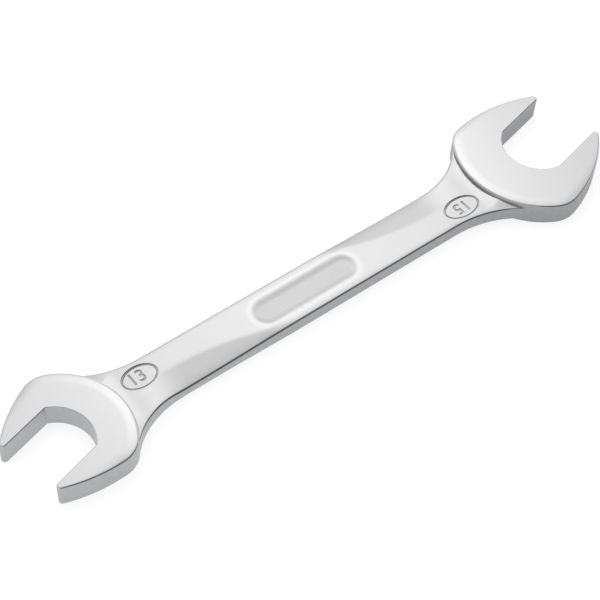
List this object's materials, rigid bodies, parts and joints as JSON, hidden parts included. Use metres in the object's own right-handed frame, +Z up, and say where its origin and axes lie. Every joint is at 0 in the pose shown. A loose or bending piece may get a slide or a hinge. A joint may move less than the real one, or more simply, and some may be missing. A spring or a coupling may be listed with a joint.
{
  "type": "double open end wrench",
  "caption": "Flat forged chrome-plated wrench with an open jaw at each end of a faceted shank; it turns hexagon nuts and bolt heads.",
  "frame": {"origin": "middle of the tool's footprint, at the height of the heads' undersides", "axes": "+X along the shank from the small head to the large head, +Z up through the thickness, square to the broad faces"},
  "size_m": [0.1486, 0.0314, 0.0055],
  "materials": {
    "chrome_plate": "satin to polished chrome plate over forged steel, polished on the broad faces and plainer on the edges"
  },
  "bodies": {
    "root": {"wrench_forging": "chrome_plate"}
  },
  "joints": []
}
